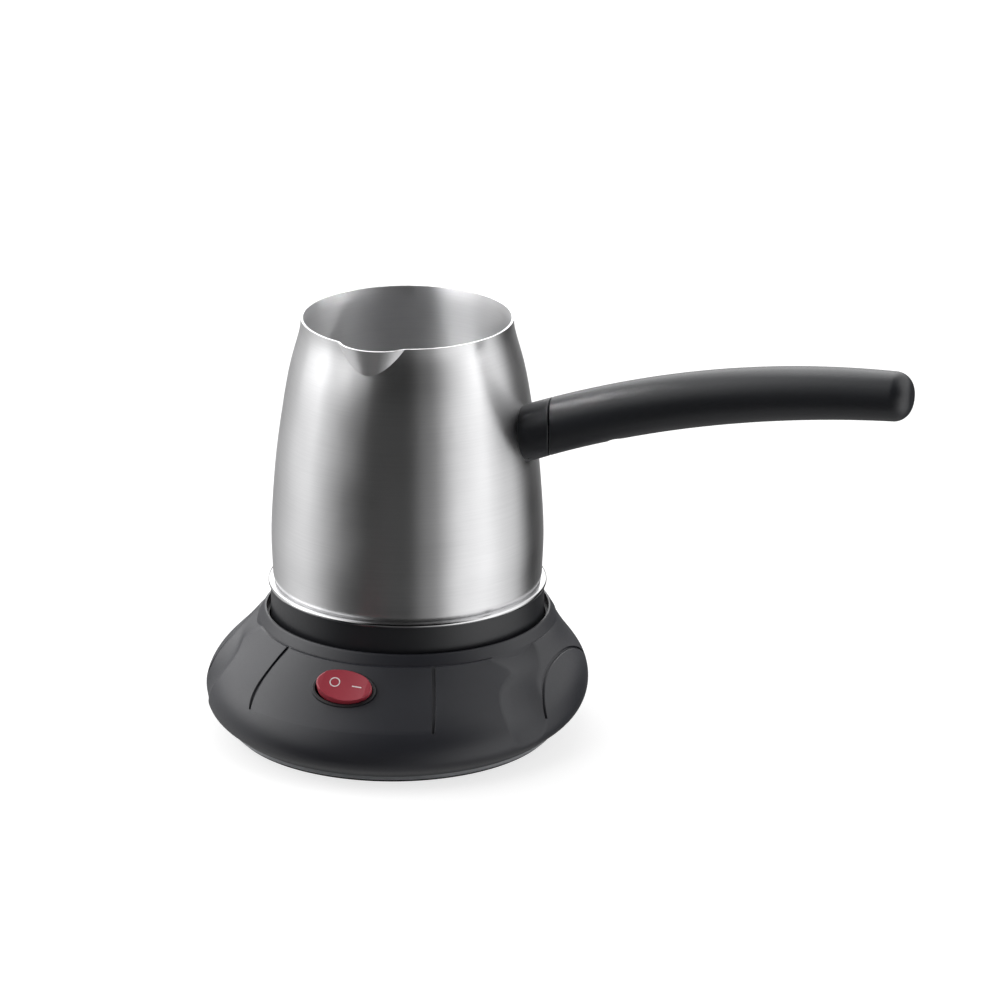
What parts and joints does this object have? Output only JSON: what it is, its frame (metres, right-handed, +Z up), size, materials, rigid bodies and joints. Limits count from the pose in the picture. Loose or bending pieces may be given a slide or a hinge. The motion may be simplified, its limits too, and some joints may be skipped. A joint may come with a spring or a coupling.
{
  "type": "electric turkish coffee maker",
  "caption": "Steel coffee pot with a pouring spout and a long curved side handle, lifting off a round electric base with an oval rocker switch.",
  "frame": {"origin": "on the pot's axis, at the surface that the base's rubber ring stands on", "axes": "+Z up, -Y toward the switch and the spout, +X along the handle"},
  "size_m": [0.2476, 0.1358, 0.1445],
  "materials": {
    "charcoal_plastic": "fine moulded texture, satin",
    "black_plastic": "moulded, satin",
    "trim_grey": "moulded, satin",
    "foot_rubber": "matte",
    "screw_steel": "zinc plated",
    "contact_brass": "plain",
    "red_plastic": "polished moulding",
    "spring_steel": "plain",
    "lead_insulation": "glass-fibre sleeve",
    "satin_steel": "satin, brushed",
    "polished_steel": "polished",
    "skirt_plastic": "moulded, satin",
    "silicone": "matte",
    "cast_aluminium": "cast",
    "element_sheath": "heat-tinted sheath",
    "fuse_ceramic": "plain",
    "handle_plastic": "fine grained phenolic"
  },
  "bodies": {
    "base": {"base_shell": "charcoal_plastic", "bottom_plate": "black_plastic", "trim_ring": "trim_grey", "foot_ring": "foot_rubber", "bottom_screws": "screw_steel", "cord_bush": "black_plastic", "switch_frame": "black_plastic", "switch_terminals": "contact_brass", "switch_lead": "lead_insulation", "base_connector": "black_plastic", "base_contacts": "contact_brass", "connector_screws": "screw_steel"},
    "rocker": {"rocker": "red_plastic", "plunger": "contact_brass", "rocker_spring": "spring_steel"},
    "contact_lever": {"contact_lever": "contact_brass"},
    "pot": {"pot_body": "satin_steel", "bead_ring": "polished_steel", "pot_skirt": "skirt_plastic", "skirt_seal": "silicone", "skirt_screws": "screw_steel", "heater_plate": "cast_aluminium", "heating_element": "element_sheath", "thermostat": "contact_brass", "thermal_fuse": "fuse_ceramic", "element_leads": "lead_insulation", "pot_connector": "black_plastic", "pot_contacts": "contact_brass", "handle_bracket": "satin_steel", "handle_collar": "handle_plastic", "handle_grip": "handle_plastic", "handle_screw": "screw_steel"}
  },
  "joints": [
    {"name": "rocker_tilt", "type": "hinge", "parent": "base", "child": "rocker", "pos_m": [0, -0.05977, 0.02702], "axis": [0, 0.7912, 0.6115], "range_deg": [-15, 0]},
    {"name": "lever_rock", "type": "hinge", "parent": "base", "child": "contact_lever", "pos_m": [0, -0.05616, 0.02235], "axis": [0, 0.7912, 0.6115], "range_deg": [0, 12]},
    {"name": "pot_lift", "type": "slide", "parent": "base", "child": "pot", "axis": [0, 0, 1], "range_m": [0, 0.06]}
  ],
  "couplings": [
    {"joint": "lever_rock", "follows": "rocker_tilt", "ratio": -0.8}
  ]
}
